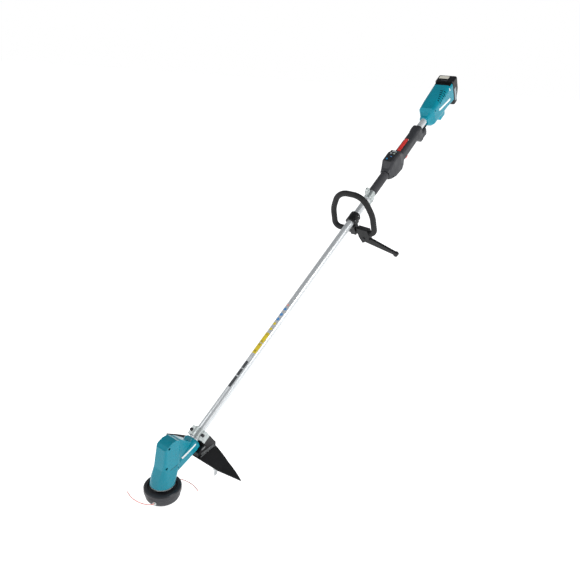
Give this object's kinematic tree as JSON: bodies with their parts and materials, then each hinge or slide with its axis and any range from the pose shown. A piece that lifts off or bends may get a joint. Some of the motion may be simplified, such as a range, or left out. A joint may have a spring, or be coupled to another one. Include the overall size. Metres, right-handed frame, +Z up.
{
  "type": "cordless brush cutter",
  "caption": "Battery brush cutter with a nylon line head on a long pipe, a swept guard, a loop handle with a barrier bar, a switch handle and a slide-on battery.",
  "frame": {"origin": "on the spindle axis, level with the underside of the bump knob", "axes": "+Z up the spindle, +Y back towards the operator, +X to the operator's left"},
  "size_m": [0.295, 1.5267, 1.0608],
  "materials": {
    "teal_plastic": "fine satin",
    "dark_plastic": "satin moulded",
    "guard_plastic": "satin moulded",
    "grip_rubber": "soft, matt",
    "pipe_metal": "satin anodised",
    "cast_metal": "fine shot blasted",
    "steel": "bright",
    "dark_steel": "black oxide",
    "spring_steel": "drawn wire",
    "laminations": "stacked sheet",
    "brass_contacts": "bright",
    "nylon_line": "clear coloured",
    "head_plastic": "satin moulded",
    "red_plastic": "satin moulded",
    "blue_plastic": "moulded",
    "lamp_plastic": "clear",
    "battery_plastic": "satin moulded",
    "cell_wrap": "shrunk sleeve",
    "board": "lacquered",
    "cable_rubber": "smooth"
  },
  "bodies": {
    "machine": {"battery_housing_left": "teal_plastic", "battery_housing_right": "teal_plastic", "battery_rail": "dark_plastic", "control_panel": "dark_plastic", "grip_sleeve": "grip_rubber", "guard": "guard_plastic", "guard_clamp_lower": "cast_metal", "guard_clamp_upper": "cast_metal", "guard_clamp_screws": "dark_steel", "hanger": "dark_plastic", "hanger_screw": "steel", "lamp_lens": "lamp_plastic", "line_cutter": "steel", "line_cutter_screw": "steel", "main_pipe": "pipe_metal", "motor_bracket": "cast_metal", "motor_controller": "dark_steel", "motor_housing_left": "teal_plastic", "motor_housing_right": "teal_plastic", "motor_stator": "laminations", "panel_board": "board", "pivot_pins": "steel", "power_cable": "cable_rubber", "rear_cable": "cable_rubber", "shell_screws": "steel", "spindle_bearings": "steel", "switch_handle_left": "dark_plastic", "switch_handle_right": "dark_plastic", "terminal_blades": "brass_contacts", "terminal_block": "dark_plastic", "trigger_switch": "dark_plastic", "upper_bearing_carrier": "cast_metal"},
    "line_head": {"spindle": "steel", "motor_rotor": "laminations", "cooling_fan": "dark_plastic", "head_cover": "head_plastic", "head_body": "head_plastic", "line_eyelets": "cast_metal", "head_nut": "steel", "bump_spring": "spring_steel", "line_tail_a": "nylon_line", "line_tail_b": "nylon_line"},
    "bump": {"bump_knob": "head_plastic", "line_spool": "head_plastic", "line_winding": "nylon_line"},
    "loop": {"loop_handle": "grip_rubber", "loop_clamp_lower": "dark_plastic", "loop_clamp_upper": "dark_plastic", "loop_clamp_bolts": "steel", "barrier_bar": "dark_plastic", "barrier_bolt": "dark_steel"},
    "trigger_body": {"trigger": "red_plastic"},
    "lever_body": {"lock_off_lever": "red_plastic"},
    "power_button_body": {"power_button": "blue_plastic"},
    "mode_button_body": {"mode_button": "blue_plastic"},
    "battery": {"battery_case": "battery_plastic", "battery_cover": "battery_plastic", "battery_cells": "cell_wrap"},
    "release_body": {"battery_release_button": "dark_plastic"}
  },
  "joints": [
    {"name": "head_spin", "type": "hinge", "parent": "machine", "child": "line_head", "pos_m": [0, 0, 0.04], "axis": [0, 0, 1], "continuous": true},
    {"name": "bump_press", "type": "slide", "parent": "line_head", "child": "bump", "axis": [0, 0, 1], "range_m": [0, 0.005], "stiffness_N_per_m": 1500, "springref_m": -0.004},
    {"name": "loop_slide", "type": "slide", "parent": "machine", "child": "loop", "axis": [0, 0.829, 0.5592], "range_m": [-0.1, 0.04]},
    {"name": "trigger_pull", "type": "hinge", "parent": "machine", "child": "trigger_body", "pos_m": [0, 1.11491, 0.77529], "axis": [1, 0, 0], "range_deg": [0, 8], "stiffness_Nm_per_rad": 0.5, "springref_deg": -8.59},
    {"name": "lock_off_press", "type": "hinge", "parent": "machine", "child": "lever_body", "pos_m": [0, 1.14003, 0.83819], "axis": [1, 0, 0], "range_deg": [0, 2.2], "stiffness_Nm_per_rad": 0.5, "springref_deg": -8.59},
    {"name": "power_press", "type": "slide", "parent": "machine", "child": "power_button_body", "axis": [0, 0.5592, -0.829], "range_m": [0, 0.0012], "stiffness_N_per_m": 500, "springref_m": -0.001},
    {"name": "mode_press", "type": "slide", "parent": "machine", "child": "mode_button_body", "axis": [0, 0.5592, -0.829], "range_m": [0, 0.0012], "stiffness_N_per_m": 500, "springref_m": -0.001},
    {"name": "battery_slide", "type": "slide", "parent": "machine", "child": "battery", "axis": [0, -0.5592, 0.829], "range_m": [0, 0.1]},
    {"name": "release_press", "type": "slide", "parent": "battery", "child": "release_body", "axis": [0, 0.829, 0.5592], "range_m": [0, 0.004], "stiffness_N_per_m": 800, "springref_m": -0.002}
  ]
}
